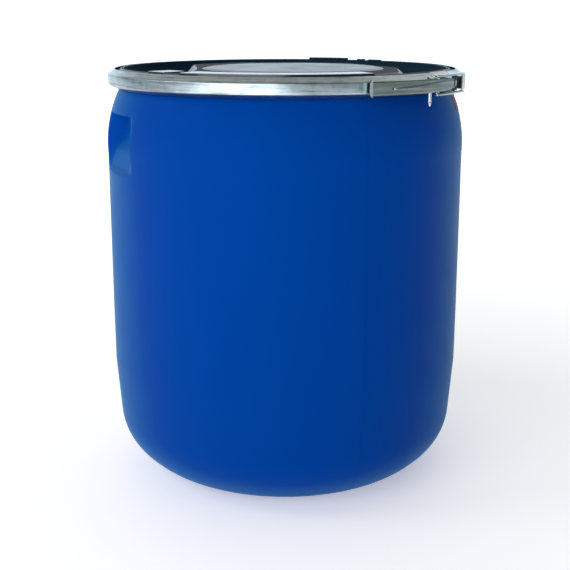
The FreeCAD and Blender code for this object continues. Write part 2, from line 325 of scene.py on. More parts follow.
def fill_ramp(node, stops):
    """Set a colour ramp's stops, each a place and a grey or a colour."""
    band = node.color_ramp
    while len(band.elements) < len(stops):
        band.elements.new(0.5)
    for element, (place, colour) in zip(band.elements, stops):
        element.position = place
        if not isinstance(colour, tuple):
            colour = (colour, colour, colour)
        element.color = (*colour, 1.0)


class Shader:
    """A procedural material built node by node."""

    def __init__(self, name):
        self.material = bpy.data.materials.new(name)
        self.material.use_nodes = True
        self.tree = self.material.node_tree
        self.bsdf = self.tree.nodes["Principled BSDF"]
        self.where = self.node("ShaderNodeTexCoord").outputs["Object"]

    def node(self, kind, **inputs):
        """A new node with its inputs set; an underscore stands for a space in a name."""
        made = self.tree.nodes.new(kind)
        for key, value in inputs.items():
            self.feed(made.inputs[key.replace("_", " ")], value)
        return made

    def feed(self, socket, value):
        """Connect an output to a socket, or give the socket a fixed value."""
        if isinstance(value, bpy.types.NodeSocket):
            self.tree.links.new(value, socket)
        else:
            socket.default_value = value

    def stretched(self, scale):
        """Object coordinates scaled along each axis."""
        made = self.node("ShaderNodeMapping", Vector=self.where)
        made.inputs["Scale"].default_value = scale
        return made.outputs["Vector"]

    def noise(self, scale, detail=4.0, roughness=0.5, where=None, distortion=0.0):
        """Cloudy values from 0 to 1; a larger scale is finer."""
        made = self.node("ShaderNodeTexNoise", Vector=where or self.where, Scale=scale,
                         Detail=detail, Roughness=roughness, Distortion=distortion)
        return made.outputs["Fac"]

    def cells(self, scale, output="Distance"):
        """Distance to the middle of the nearest cell, or the cell's own random colour."""
        made = self.node("ShaderNodeTexVoronoi", Vector=self.where, Scale=scale)
        return made.outputs[output]

    def ramp(self, value, stops):
        """Map a value through (place, grey or colour) stops."""
        made = self.node("ShaderNodeValToRGB", Fac=value)
        fill_ramp(made, stops)
        return made.outputs["Color"]

    def blend(self, share, first, second):
        """The first colour where the share is 0, the second where it is 1."""
        made = self.tree.nodes.new("ShaderNodeMix")
        made.data_type = "RGBA"
        self.feed(made.inputs["Factor"], share)
        for socket, value in zip((made.inputs[6], made.inputs[7]), (first, second)):
            if isinstance(value, tuple) and len(value) == 3:
                value = (*value, 1.0)
            self.feed(socket, value)
        return made.outputs[2]

    def maths(self, operation, first, second=0.0, third=0.0):
        made = self.tree.nodes.new("ShaderNodeMath")
        made.operation = operation
        for socket, value in zip(made.inputs, (first, second, third)):
            self.feed(socket, value)
        return made.outputs[0]

    def finish(self, colour, roughness, bump=None, strength=0.0, depth=0.0, **more):
        """Connect the surface's inputs, with a bump if one is given, and return the material."""
        self.feed(self.bsdf.inputs["Base Color"], colour)
        self.feed(self.bsdf.inputs["Roughness"], roughness)
        for key, value in more.items():
            self.feed(self.bsdf.inputs[key.replace("_", " ")], value)
        if bump is not None:
            made = self.node("ShaderNodeBump", Height=bump, Strength=strength, Distance=depth)
            self.feed(self.bsdf.inputs["Normal"], made.outputs["Normal"])
        return self.material


def blue_plastic():
    """Satin blow-moulded polyethylene: faint flow streaks, orange peel and a few scuffs, with a
    painted sheen lightening it towards the grazing edges.
    """
    s = Shader("blue_polyethylene")
    streaks = s.noise(9.0, 5.0, 0.6, s.stretched((1.0, 1.0, 0.12)))
    clouds = s.noise(2.3, 3.0)
    tone = s.blend(0.5, s.ramp(streaks, [(0.3, 0.35), (0.7, 0.65)]),
                   s.ramp(clouds, [(0.3, 0.3), (0.7, 0.7)]))
    colour = s.blend(tone, (0.0, 0.036, 0.235), (0.0, 0.046, 0.285))
    specks = s.ramp(s.cells(38.0), [(0.0, 1.0), (0.018, 0.6), (0.03, 0.0)])
    rare = s.ramp(s.noise(5.0, 2.0), [(0.60, 0.0), (0.66, 1.0)])
    scuffs = s.maths("MULTIPLY", specks, rare)
    scratch_at = s.stretched((1.0, 1.0, 14.0))
    scratches = s.ramp(s.noise(11.0, 6.0, 0.7, scratch_at, 1.5), [(0.70, 0.0), (0.74, 0.5)])
    marks = s.maths("MULTIPLY", scratches, s.ramp(s.noise(3.1, 2.0), [(0.58, 0.0), (0.68, 0.5)]))
    wear = s.maths("MULTIPLY", s.maths("MAXIMUM", scuffs, marks), 0.6)
    colour = s.blend(wear, colour, (0.02, 0.12, 0.36))
    # painted sheen: towards the grazing edges the colour is blended into a lighter teal blue,
    # standing in for the reflection of the bright studio
    edge = s.node("ShaderNodeLayerWeight", Blend=0.5).outputs["Facing"]
    colour = s.blend(s.ramp(edge, [(0.45, 0.0), (0.8, 0.4), (1.0, 1.0)]), colour,
                     (0.0, 0.15, 0.34))
    rough = s.ramp(s.noise(14.0, 6.0, 0.65), [(0.3, 0.42), (0.7, 0.5)])
    peel = s.noise(420.0, 2.0)
    waves = s.noise(5.0, 2.0, 0.4, s.stretched((1.0, 1.0, 0.5)))
    height = s.maths("MULTIPLY_ADD", waves, 3.0, peel)
    return s.finish(colour, rough, height, 0.14, 0.0006, IOR=1.2, Specular_IOR_Level=0.2,
                    Specular_Tint=(0.02, 0.35, 1.0, 1.0))


def black_plastic(name, upright, sloped_painted_reflection, flat, polish, shine):
    """Moulded black plastic with a fine grain; its colour is painted by which way a face points,
    the slopes lighter and greyer as a painted reflection, and the slopes are duller.
    """
    s = Shader(name)
    facing = s.node("ShaderNodeSeparateXYZ",
                    Vector=s.node("ShaderNodeNewGeometry").outputs["Normal"]).outputs["Z"]
    lean = s.ramp(facing, [(0.3, 0.0), (0.55, 1.0), (0.93, 1.0), (0.99, 0.0)])
    # painted light by facing: upright and flat faces get their own shades, and the slopes a
    # lighter grey painted reflection, made patchy by this noise
    patchy_painted_reflection = s.ramp(s.noise(30.0, 6.0, 0.7), [(0.3, 0.75), (0.8, 1.0)])
    tone = s.blend(s.ramp(facing, [(0.5, 0.0), (0.97, 1.0)]), upright, flat)
    tone = s.blend(s.maths("MULTIPLY", lean, patchy_painted_reflection), tone, sloped_painted_reflection)
    fine = s.ramp(s.cells(160.0), [(0.0, 1.0), (0.06, 0.0)])
    tone = s.blend(s.maths("MULTIPLY", fine, 0.04), tone, (0.2, 0.21, 0.22))
    worn = s.noise(18.0, 5.0, 0.6)
    rough = s.blend(lean, s.ramp(worn, [(0.3, polish), (0.75, polish + 0.12)]),
                    s.ramp(worn, [(0.3, 0.34), (0.75, 0.44)]))
    shine = s.maths("MULTIPLY_ADD", lean, 0.5 - shine, shine)
    height = s.maths("MULTIPLY_ADD", s.noise(6.0, 2.0), 4.0, s.noise(500.0, 2.0))
    return s.finish(tone, rough, height, 0.10, 0.0004, Specular_IOR_Level=shine)


def galvanised(name, dark, light, polish, lines=14.0, contrast=0.8):
    """Zinc-coated steel: drawing lines along the ring, soft clouds and a faint spangle."""
    s = Shader(name)
    spangle = s.cells(110.0, output="Color")
    grey = s.node("ShaderNodeRGBToBW", Color=spangle).outputs["Val"]
    drawn = s.noise(lines, 6.0, 0.65, s.stretched((1.0, 1.0, 32.0)))
    clouds = s.noise(7.0, 3.0, 0.5)
    tone = s.maths("MULTIPLY_ADD", grey, 0.06, s.maths("MULTIPLY", clouds, 0.44))
    tone = s.maths("MULTIPLY_ADD", drawn, 0.5, tone)
    edge = 0.5 - contrast * 0.16
    colour = s.blend(s.ramp(tone, [(edge, 0.0), (1.0 - edge, 1.0)]), dark, light)
    stains = s.ramp(s.noise(19.0, 5.0, 0.7), [(0.58, 0.0), (0.85, 0.3)])
    colour = s.blend(stains, colour, tuple(0.6 * c for c in dark))
    rough = s.ramp(tone, [(0.2, polish + 0.10), (0.8, polish)])
    return s.finish(colour, rough, drawn, 0.08, 0.0003, Metallic=1.0)


def rubber():
    """Dark foamed gasket rubber with fine pores."""
    s = Shader("gasket_foam")
    pores = s.cells(700.0)
    colour = s.blend(s.noise(50.0), (0.012, 0.012, 0.013), (0.03, 0.03, 0.032))
    return s.finish(colour, 0.85, pores, 0.3, 0.0003)


def label_film():
    """Dull red plastic film, slightly uneven."""
    s = Shader("red_film")
    colour = s.blend(s.noise(25.0, 4.0), (0.14, 0.003, 0.012), (0.22, 0.006, 0.020))
    return s.finish(colour, 0.5, s.noise(60.0, 3.0), 0.1, 0.0003, Specular_IOR_Level=0.1)


def studio_floor():
    """Pale floor that brightens into the backdrop away from the drum."""
    s = Shader("studio_floor")
    colour = s.blend(s.noise(3.0, 3.0), (0.88, 0.885, 0.89), (0.90, 0.90, 0.905))
    away = s.node("ShaderNodeVectorMath", Vector=s.where)
    away.operation = "LENGTH"
    share = s.maths("DIVIDE", away.outputs["Value"], 6.0)
    glow = s.ramp(share, [(0.10, 0.42), (0.6, 1.0)])
    return s.finish(colour, 0.7, Emission_Color=colour, Emission_Strength=glow)


def dress(obj, material):
    """Give the object one material."""
    obj.data.materials.clear()
    obj.data.materials.append(material)
    return obj


# ---------------------------------------------------------------- drum body

WALL = 4.0
FOOT = [(0.0, 6.0), (134.0, 6.0), (150.0, 0.0), (180.5, 0.0)]
# the arcs of the base's corner and of the shoulder: a point on each one's middle, and its end
CORNER = [((214.6, 7.0), (258.4, 35.1)), ((285.3, 74.8), (290.7, 100.2))]
SHOULDER = ((292.6, 606.5), (274.6, 655.5))
SIDE_TOP = (297.2, 550.2)
SIDE = [(297.7, 192.6), (BODY_R, 288.9), SIDE_TOP]
BEAD_R = 287.0
NECK_BORE_R = 269.8
# the outside of the neck, its bead, the rim and its bore, with the corner radius at each point
NECK = [(274.2, 657.0, 0), (274.0, 660.0, 1.5), (BEAD_R, 664.5, 1.5), (BEAD_R, 674.0, 1.5),
        (BEAD_R - 2.5, RIM_TOP, 1.0), (NECK_BORE_R, RIM_TOP, 1.5), (NECK_BORE_R, 661.0, 3.0)]
NECK_DEPTH = 16.0             # below the rim, down to where the wall's inside begins
GRIP_BEARINGS = (-66.0, 114.0)
GRIP_SPREAD = 15.6            # degrees to each side of a grip with closer columns
# the grip's pocket: distances from the axis, and its half width, low and high edge there
GRIP_REACH = (258.0, 281.0, 289.0, 306.0)
GRIP_HALF = (32.0, 52.0, 64.0, 68.0)
GRIP_LOW = (590.0, 560.0, 532.0, 520.0)
GRIP_HIGH = (615.5, 617.0, 618.0, 618.6)
GRIP_Z = (514.0, 624.0)
GRIP_SOFT, GRIP_CRISP = 9.0, 3.0        # rounding of its inner corners, and of top and mouth
PARTING = 24.0                # bearing of the mould's parting line, and its opposite
PARTING_Z = (4.0, 640.0)
PARTING_WIDTH = 0.10          # half of it, in degrees
PARTING_HEIGHT, PARTING_ROOT = 0.22, 0.6        # how far it stands out, and starts inside
LABEL_BEARINGS = (73.0, 86.0)
LABEL_RISE = (0.05, 0.45)     # the film's inside and outside, above the drum's outside


def soft_max(a, b, width):
    """The larger of two values, with the change from one to the other rounded off."""
    overlap = max(width - abs(a - b), 0.0) / width
    return max(a, b) + overlap * overlap * width / 4


def grip_floor(across, z, grow):
    """How far from the axis the pocket's wall is, at a place across and up the pocket."""
    by_side = np.interp(abs(across) - grow, GRIP_HALF, GRIP_REACH)
    by_low = np.interp(-z - grow, [-low for low in GRIP_LOW], GRIP_REACH)
    by_high = np.interp(z - grow, GRIP_HIGH, GRIP_REACH)
    floor = soft_max(GRIP_REACH[0], soft_max(by_side, by_low, GRIP_SOFT), GRIP_SOFT)
    return soft_max(floor, by_high, GRIP_CRISP) - grow


def pressed(r, bearing, z, grow):
    """A point of the body's wall, pushed in where a hand grip is."""
    if not GRIP_Z[0] < z < GRIP_Z[1]:
        return at(r, bearing, z)
    for middle in GRIP_BEARINGS:
        off = math.radians(bearing - middle)
        out, across = r * math.cos(off), r * math.sin(off)
        if out < 0.0:         # the far side of the drum
            continue
        floor = grip_floor(across, z, grow)
        pushed = -soft_max(-out, -floor, GRIP_CRISP)
        if pushed < out - 0.01:
            return at(pushed, middle, z) + at(across, middle + 90.0, 0.0)
    return at(r, bearing, z)


def body_line():
    """The outside of the body from the middle of the base to the neck, finely divided."""
    line = filled(FOOT, 30.0)
    for middle, end in CORNER:
        line += arc(line[-1], middle, end, 9)
    line += filled(line[-1:] + SIDE, 24.0)[1:]
    low = [p for p in line if p[1] < GRIP_Z[0]]
    top_r, top_z = SIDE_TOP
    line = low + [(top_r, z) for z in spread(GRIP_Z[0], top_z, 3.0)]
    line += arc(SIDE_TOP, *SHOULDER, 60)
    return line


def body_bearings():
    """Bearings all round, closer together across the two grips."""
    fine, coarse = 0.6, 3.0
    bearings = []
    for middle in GRIP_BEARINGS:
        first, last = middle - GRIP_SPREAD, middle + GRIP_SPREAD
        bearings += spread(first, last, fine)
        bearings += spread(last, first + 180.0, coarse)[1:-1]
    return sorted(bearings) + [min(bearings) + 360.0]


def drum_body():
    """The hollow drum with its neck and hand grips, and the fine lines the mould left."""
    outside = body_line()
    inside = beside(outside, WALL)[::-1]
    inside = [(max(r, 0.0), z) for r, z in inside if z < RIM_TOP - NECK_DEPTH]
    first_r, first_z = inside[0]
    neck = filled(rounded(NECK + [(first_r, first_z + 1.0, 0)]), 6.0)
    grow = [0.0] * (len(outside) + len(neck)) + [WALL] * len(inside)
    obj = lathe("drum_shell", outside + neck + inside, body_bearings(),
                move=lambda r, b, z, i: pressed(r, b, z, grow[i]))
    join(obj, [parting_line(outside, bearing) for bearing in (PARTING, PARTING + 180.0)])
    return dress(tidy(obj, 40.0), blue_plastic())


def parting_line(outside, bearing):
    """The fine raised line that the two mould halves leave on the side."""
    run = [p for p in outside if PARTING_Z[0] < p[1] < PARTING_Z[1]]
    rings = []
    for (r, z), (top_r, top_z) in zip(run, beside(run, -PARTING_HEIGHT)):
        rings.append([at(r - PARTING_ROOT, bearing - PARTING_WIDTH, z),
                      at(top_r, bearing - PARTING_WIDTH / 3, top_z),
                      at(top_r, bearing + PARTING_WIDTH / 3, top_z),
                      at(r - PARTING_ROOT, bearing + PARTING_WIDTH, z)])
    return prism("parting_line", rings)


def shoulder_label():
    """A plain red film on the shoulder."""
    line = [p for p in arc(SIDE_TOP, *SHOULDER, 90) if LABEL_LOW.z <= p[1] <= LABEL_HIGH.z]
    under, top = LABEL_RISE
    outline = beside(line, -under) + beside(line, -top)[::-1]
    bearings = spread(*LABEL_BEARINGS, 0.5)
    return dress(tidy(lathe("label_film", outline, bearings, closed=True)), label_film())


# ---------------------------------------------------------------- lid

LID_T = 3.0
FLOOR_TOP = LID_FLOOR + LID_T
SKIRT_LOW, SKIRT_BEND = 668.0, 678.1    # heights of the skirt's edge and of its outer bend
SKIRT_IN_R = 288.0
FLANGE_MID = 682.0                      # the middle of the flange's thickness
FLANGE_R = 284.6                        # where the flange bends down into the skirt
PLUG_R = 265.3                          # inner face of the channel's outer wall
PLATFORM_TOP = 684.0
# corners of the platform's foot, and how far its sides lean in
PLATFORM = [(-169, -151), (-95, -224), (112, -224), (207, -140), (222, 26), (129, 207),
            (-95, 230), (-189, 151)]
PLATFORM_LEAN = 26.0
PLATFORM_CRISP = 36           # the larger, the sharper the platform's corners
FOOT_R = 240.0                # the lathe's radius that stands for the platform's foot
EDGE_R = FOOT_R - PLATFORM_LEAN
FADE = 6.0                    # the stretch is gone this far past the foot
ROUND_R = 120.0               # inside this radius the lid is turned, not eight-sided
DISC_X = 13.0
DISC_R, DISC_FOOT_R = 142.0, 151.0
DISC_TOP = 686.5
DISC_SUNK, DISC_STEP = 0.6, 0.2         # how deep its foot sits, and the step round it
LIP_R = (266.5, 272.5)
LIP_TOP = 688.2
# first and last bearing and top of the tabs on the lip, and of the ledges across the channel
TABS = [(139.0, 144.5, 688.6), (146.5, 149.5, 689.0), (154.0, 170.0, LID_HIGH.z)]
LEDGES = [(-50.0, -41.5, 690.0), (-35.0, 29.0, LID_HIGH.z)]
LEDGE_IN_R = 228.0
GASKET_R = (274.0, 283.0)


def platform_reach(bearing):
    """Distance from the axis to the platform's foot, its corners rounded off."""
    angle = math.radians(bearing)
    dx, dy = math.sin(angle), -math.cos(angle)
    total = 0.0
    for (x0, y0), (x1, y1) in zip(PLATFORM, PLATFORM[1:] + PLATFORM[:1]):
        nx, ny = y1 - y0, x0 - x1
        facing = nx * dx + ny * dy
        if facing > 0:
            total += (facing / (nx * x0 + ny * y0)) ** PLATFORM_CRISP
    return total ** (-1 / PLATFORM_CRISP)


def lid_point(r, bearing, z, _):
    """Stretch the lathe's radius so that the platform comes out eight-sided."""
    if r > FOOT_R + FADE or r < ROUND_R:
        return at(r, bearing, z)
    share = min((r - ROUND_R) / (EDGE_R - ROUND_R - FADE), 1.0)
    if r > FOOT_R:
        share = (FOOT_R + FADE - r) / FADE
    return at(r + share * (platform_reach(bearing) - FOOT_R), bearing, z)


def lid_shell():
    """Skirt, flange, lip, plug wall, channel and platform, as one moulded sheet."""
    top, under = FLANGE_MID + LID_T / 2, FLANGE_MID - LID_T / 2
    platform_under = PLATFORM_TOP - LID_T
    outside = [(SKIRT_OUT_R, SKIRT_LOW, 1.0), (SKIRT_OUT_R, SKIRT_BEND, 3.0),
               (FLANGE_R, top, 3.0), (LIP_R[1], top, 1.5), (LIP_R[1], LIP_TOP, 2.0),
               (LIP_R[0], LIP_TOP, 2.0), (PLUG_R, 680.0, 4.0), (PLUG_R, FLOOR_TOP, 5.0),
               (FOOT_R, FLOOR_TOP, 5.0), (EDGE_R, PLATFORM_TOP, 4.0),
               (EDGE_R - FADE, PLATFORM_TOP, 0), (ROUND_R, PLATFORM_TOP, 0),
               (0.0, PLATFORM_TOP, 0)]
    inside = [(0.0, platform_under, 0), (ROUND_R, platform_under, 0),
              (EDGE_R - 2.0, platform_under, 3.0), (FOOT_R - 3.6, LID_FLOOR, 3.0),
              (PLUG_R + LID_T, LID_FLOOR, 4.0), (PLUG_R + LID_T, 676.0, 2.0),
              (271.0, under, 2.0), (FLANGE_R - 1.2, under, 2.0),
              (SKIRT_IN_R, SKIRT_BEND - 1.3, 2.0), (SKIRT_IN_R, SKIRT_LOW, 1.0)]
    points = filled(rounded(outside + inside, 5, closed=True), 20.0, closed=True)
    return lathe("lid_moulding", points, closed=True, move=lid_point)


def disc():
    """The smooth raised middle of the lid."""
    low, step = PLATFORM_TOP - DISC_SUNK, PLATFORM_TOP + DISC_STEP
    line = [(0.0, low, 0), (DISC_FOOT_R, low, 0), (DISC_FOOT_R, step, 0), (DISC_R, DISC_TOP, 1.5),
            (60.0, DISC_TOP, 0), (0.0, DISC_TOP, 0)]
    obj = lathe("lid_middle", filled(rounded(line), 20.0), closed=True)
    obj.data.transform(Matrix.Translation((DISC_X * MM, 0.0, 0.0)))
    return obj


def lip_tabs():
    """Low raised tabs on the lip."""
    made = []
    foot = LIP_TOP - 2
    for first, last, top in TABS:
        outline = rounded([(LIP_R[1], foot, 0), (LIP_R[1], top, 1.0), (LIP_R[0], top, 1.0),
                           (LIP_R[0], foot, 0)])
        made.append(lathe("tab", outline, spread(first, last, 1.0), closed=True))
    return made


def lid_ledges():
    """Flat-topped ledges that bridge the channel between the lip and the platform."""
    made = []
    low, step = FLOOR_TOP - 1, LIP_TOP - 3
    for first, last, top in LEDGES:
        outline = rounded([(LEDGE_IN_R, low, 0), (LEDGE_IN_R, top, 2.0), (LIP_R[1], top, 2.0),
                           (LIP_R[1], step, 0), (LIP_R[0], step, 0), (LIP_R[0], low, 0)])
        made.append(lathe("lid_ledges", filled(outline, 12.0, closed=True),
                          spread(first, last, 1.0), closed=True))
    return bevelled(tidy(join(made[0], made[1:])), 1.2)


def lid():
    """The lid's moulding, its smooth middle and its ledges, which differ in their plastic's
    roughness and in their painted shades; the ledges' tops are painted lighter, a painted
    highlight.
    """
    moulding = tidy(join(lid_shell(), lip_tabs()))
    return [dress(moulding, LID_PLASTIC), dress(tidy(disc()), DISC_PLASTIC),
            dress(tidy(lid_ledges()), LEDGE_PLASTIC_PAINTED_HIGHLIGHT)]


def gasket():
    """The soft ring under the lid's flange."""
    outline = bar(*GASKET_R, GASKET_LOW.z, GASKET_HIGH.z, 1.2, 1.2, steps=5)
    return dress(tidy(lathe("gasket_ring", outline, closed=True)), rubber())


# ---------------------------------------------------------------- clamp ring

BAND_T = 1.5
HALF_GAP = 0.9                # degrees
WEB_LOW, WEB_HIGH = 661.0, 679.0
FLANGE_EDGES = ((278.0, 656.0), (282.5, 685.8))     # the band's lower and upper edge
BRACKET_Z = (WEB_LOW + 0.5, WEB_HIGH - 0.5)
PLATE_R = (BAND_R + 0.05, BAND_R + 1.5)             # inner and outer, of both end plates
BRACKET_LENGTH = 9.0          # degrees
TAB_START = 50.5              # bearing
TAB_GAP = 0.03                # between the band's flange and the tab over it
KNUCKLE_R = 4.6
HOOK_PLATE_Z = (657.2, 682.0)
HOOK_PLATE_END = 65.2         # bearing
# inner and outer radius, first and last bearing of the hook's leg and of its turned end
HOOK = [(BAND_R + 1, 306.0, 63.0, 63.6), (304.5, 306.0, 63.0, 64.3)]


def band_line():
    """Middle line of the band's section: lower flange, web and upper flange."""
    web = BAND_R - BAND_T / 2
    lower, upper = FLANGE_EDGES
    return [(*lower, 0), (web - 2.2, WEB_LOW - 1.8, 3.0), (web, WEB_LOW + 1.0, 2.5),
            (web, WEB_HIGH - 1.0, 2.5), (web - 2.2, WEB_HIGH + 1.6, 3.0), (*upper, 0)]


def clamp_band():
    """The open steel ring."""
    outline = sheet_outline(band_line(), BAND_T)
    bearings = spread(GAP + HALF_GAP, GAP + 360.0 - HALF_GAP, 2.0)
    return dress(tidy(lathe("ring_band", outline, bearings, closed=True)), STEEL["band"])


def lever_bracket():
    """Plate and knuckle on ring end A, with the tab folded over the upper flange."""
    low, high = BRACKET_Z
    last = GAP - HALF_GAP
    plate = lathe("end_bracket", bar(*PLATE_R, low, high, 0.5),
                  spread(last - BRACKET_LENGTH, last, 0.5), closed=True)
    fold = [(r, z) for r, z, _ in band_line()[-3:]]
    fold.insert(0, (fold[0][0], fold[0][1] - 3.0))
    line = [(r, z, 2.5) for r, z in beside(fold, -BAND_T - TAB_GAP)]
    tab = lathe("tab", sheet_outline(line, BAND_T), spread(TAB_START, last, 0.5), closed=True)
    barrel = [(0, low), (KNUCKLE_R, low), (KNUCKLE_R, high), (0, high)]
    knuckle = spindle("knuckle", barrel, PIVOT_R, PIVOT)
    return [dress(tidy(join(plate, [tab])), STEEL["bracket"]), dress(tidy(knuckle), STEEL["hook"])]


def hook_bracket():
    """Plate on ring end B, with the hook that the link's end catches."""
    low, high = BRACKET_Z
    plate = lathe("hook_plate", bar(*PLATE_R, *HOOK_PLATE_Z, 0.5),
                  spread(GAP + HALF_GAP, HOOK_PLATE_END, 0.5), closed=True)
    hook = [lathe("hook", bar(inner, outer, low - 1, high, 0.4, 0.4), spread(first, last, 0.2),
                  closed=True) for inner, outer, first, last in HOOK]
    return dress(tidy(join(plate, hook)), STEEL["hook"])


# ---------------------------------------------------------------- lever lock

LEVER_WEB_R = 308.1           # outside of the web; the rib stands above it
LEVER_IN_R = 297.8
LEVER_T = 1.8
LIP_START, LIP_END = 24.0, 22.6         # bearings of the finger lip's root and tip
LIP_FLARE = 4.2               # how far the lip stands out
LIP_EDGE = 0.4                # its thickness at the tip
NOSE_ROUND = 0.9              # degrees over which the end of the nose is rounded
NOSE_DROP = 0.45              # how much of its height the nose loses there
NOSE_END = PIVOT + NOSE_ROUND
NOSE_LENGTH = 7.5             # degrees over which the lever narrows to its nose
NOSE_SHARE = 0.62             # the nose's height as a share of the lever's
NOSE_BELOW, NOSE_ABOVE = 1.2, 0.7       # the nose narrows mostly from below
RIB_START, RIB_END = 31.5, 56.0
RIB_RISE = 1.3
RIB_HALF, RIB_POINT = 7.6, 0.6          # half its height, in full and at its point
RIB_TILT = 1.2                # how far its point lies below the lever's middle
RIB_SIDE = 1.5                # width of its sloping sides
RIB_LEAD = 0.6                # degrees by which the slope leads the rib
WEB_DEPTH = 2.6               # only points this close to the web's outside are raised
POINT_DROP = 1.0              # how far the small point lies below the lever's middle
# bearing, half height and rise of the sections of the small point where the rib begins
POINT = [(RIB_START - 0.9, 2.0, 0.2), (RIB_START - 0.7, 1.9, 1.2), (RIB_START, 0.3, 0.3)]
SLOT_BEARING = PIVOT - 1.15
SLOT_RISE = 0.8
SLOT_HALF = (2.2, 5.0)        # half its width and half its height
LINK_R = (300.6, 308.6)
LINK_T = 1.8
LINK_HOOD, LINK_END = 64.4, 67.7        # bearings of the folded hood
LINK_EYE_R = 4.0
HINGE_R, HINGE_INSET = 2.0, 1.2
# radius, drop below the head's top and corner radius along a rivet and along the pin's head
RIVET = [(0.0, 0.0, 0), (2.2, 0.15, 1.0), (3.8, 1.0, 0.6), (3.8, 1.4, 0), (2.2, 1.4, 0),
         (2.2, 5.4, 0), (3.6, 5.4, 0.3), (3.6, 6.6, 0.5), (0.0, 6.6, 0)]
PIN_HEAD = [(0.0, 0.0, 0), (2.6, 0.1, 1.0), (4.4, 1.2, 0.8), (4.4, 2.4, 0.3), (0.0, 2.4, 0)]
BLADE_HALF = 1.1              # half the blade's thickness
# height above the tip and half width of the blade's sections
BLADE = [(PIN_HIGH.z - PIN_LOW.z - 2.0, 2.2), (6.5, 2.2), (3.0, 1.8), (1.0, 0.9), (0.0, 0.3)]
HOLE_RISE = 6.0
HOLE_HALF = (1.0, 1.2)


def smooth(value):
    """Ease from 0 to 1 as the value goes from 0 to 1."""
    value = min(max(value, 0.0), 1.0)
    return value * value * (3 - 2 * value)


def nose_share(bearing):
    """The lever's height near its nose, as a share of the full one."""
    narrowed = 1.0 - (1.0 - NOSE_SHARE) * smooth((bearing - NOSE_END + NOSE_LENGTH) / NOSE_LENGTH)
    past = (bearing - (NOSE_END - NOSE_ROUND)) / NOSE_ROUND
    if past <= 0:
        return narrowed
    return narrowed * (1.0 - NOSE_DROP * (1 - math.sqrt(max(1 - past * past, 0.0))))


def rib_rise(bearing, off):
    """How far the rib stands out at a bearing and a height off the lever's middle."""
    along = (bearing - RIB_START + RIB_LEAD) / (RIB_END - RIB_START)
    half = min(RIB_POINT + RIB_HALF * along, RIB_HALF)
    height = smooth((half - abs(off + RIB_TILT * (1 - along))) / RIB_SIDE)
    return RIB_RISE * height * smooth(along * 9.0) * smooth((NOSE_END - bearing) / NOSE_ROUND)


def lever_point(r, bearing, z, _):
    """Lever point with the pressed rib raised and the nose narrowed and rounded."""
    off = z - LEVER_MID
    if r > LEVER_WEB_R - WEB_DEPTH and bearing > RIB_START - RIB_LEAD:
        r += rib_rise(bearing, off)
    narrowing = (1.0 - nose_share(bearing)) * (NOSE_BELOW if off < 0 else NOSE_ABOVE)
    return at(r, bearing, LEVER_MID + off * (1.0 - narrowing))


def lever():
    """Pressed channel: folded edges, a wedge-shaped rib, a rounded nose and a finger lip, the lip
    and the rib's small point dressed in lighter steel as a painted highlight.
    """
    half = LEVER_HALF - LEVER_T / 2
    web = LEVER_WEB_R - LEVER_T / 2
    line = [(LEVER_IN_R, LEVER_MID - half, 0), (web, LEVER_MID - half, 3.0),
            (web, LEVER_MID + half, 3.0), (LEVER_IN_R, LEVER_MID + half, 0)]
    outline = filled(sheet_outline(line, LEVER_T), 0.7, closed=True)
    bearings = spread(LIP_START, NOSE_END, 0.2)
    obj = lathe("lock_lever", outline, bearings, closed=True, move=lever_point)
    tidy(obj, 50.0)
    slot = [[at(LEVER_WEB_R + reach, b, z) for b, z in slot_outline()] for reach in (-6, 6)]
    cut(obj, tidy(prism("slot", slot)))
    # the finger lip and the small point are the lever's own sheet, dressed in the lighter link
    # steel as a painted highlight on top of the light their shape catches
    painted_highlight_pieces = join(finger_lip(), [stamped_point()])
    return [dress(tidy(obj, 50.0), STEEL["lever"]), dress(tidy(painted_highlight_pieces, 50.0), STEEL["link"])]


def stamped_point():
    """The small raised point where the rib begins."""
    rings = []
    for bearing, half, out in POINT:
        sides = ((-0.5, -half), (out, -0.6 * half), (out, 0.6 * half), (-0.5, half))
        rings.append([at(LEVER_WEB_R + r, bearing, LEVER_MID - POINT_DROP + z) for r, z in sides])
    return prism("point", rings)


def slot_outline():
    """A round-ended upright slot near the nose, as (bearing, height) points."""
    across, half = SLOT_HALF
    wide = math.degrees(across / LEVER_WEB_R)
    points = []
    for angle in turns(26):
        up = math.copysign(half - across, math.sin(angle + 0.001))
        points.append((SLOT_BEARING + wide * math.cos(angle),
                       LEVER_MID + SLOT_RISE + up + across * math.sin(angle)))
    return points


def finger_lip():
    """The lever's free end, flared outwards into a lens-shaped lip."""
    rings = []
    length = LIP_START - LIP_END
    depth = LEVER_WEB_R - LEVER_IN_R - 1.0
    for up in spread(-1.0, 1.0, 0.1):
        bulge = 0.2 + 0.8 * math.sqrt(max(1 - up * up, 0.0))
        z = LEVER_MID + up * (LEVER_HALF - 0.3)
        outer, inner = [], []
        for reach in spread(0.0, 1.0, 0.125):
            r = LEVER_WEB_R + LIP_FLARE * bulge * reach ** 1.3
            outer.append(at(r, LIP_START - length * reach * bulge, z))
            inner.append(at(r - depth * (1 - reach) - LIP_EDGE,
                            LIP_START - length * bulge * reach ** 2.2, z))
        rings.append(outer + inner[::-1])
    return prism("finger_lip", rings)


def pivot_pin():
    """The pin that the lever turns on."""
    low, high = LEVER_LOW.z + HINGE_INSET, LEVER_HIGH.z - HINGE_INSET
    outline = rounded([(0.0, low, 0), (HINGE_R, low, 0.5), (HINGE_R, high, 0.5), (0.0, high, 0)])
    return dress(tidy(spindle("hinge_pin", outline, PIVOT_R, PIVOT)), STEEL["hook"])


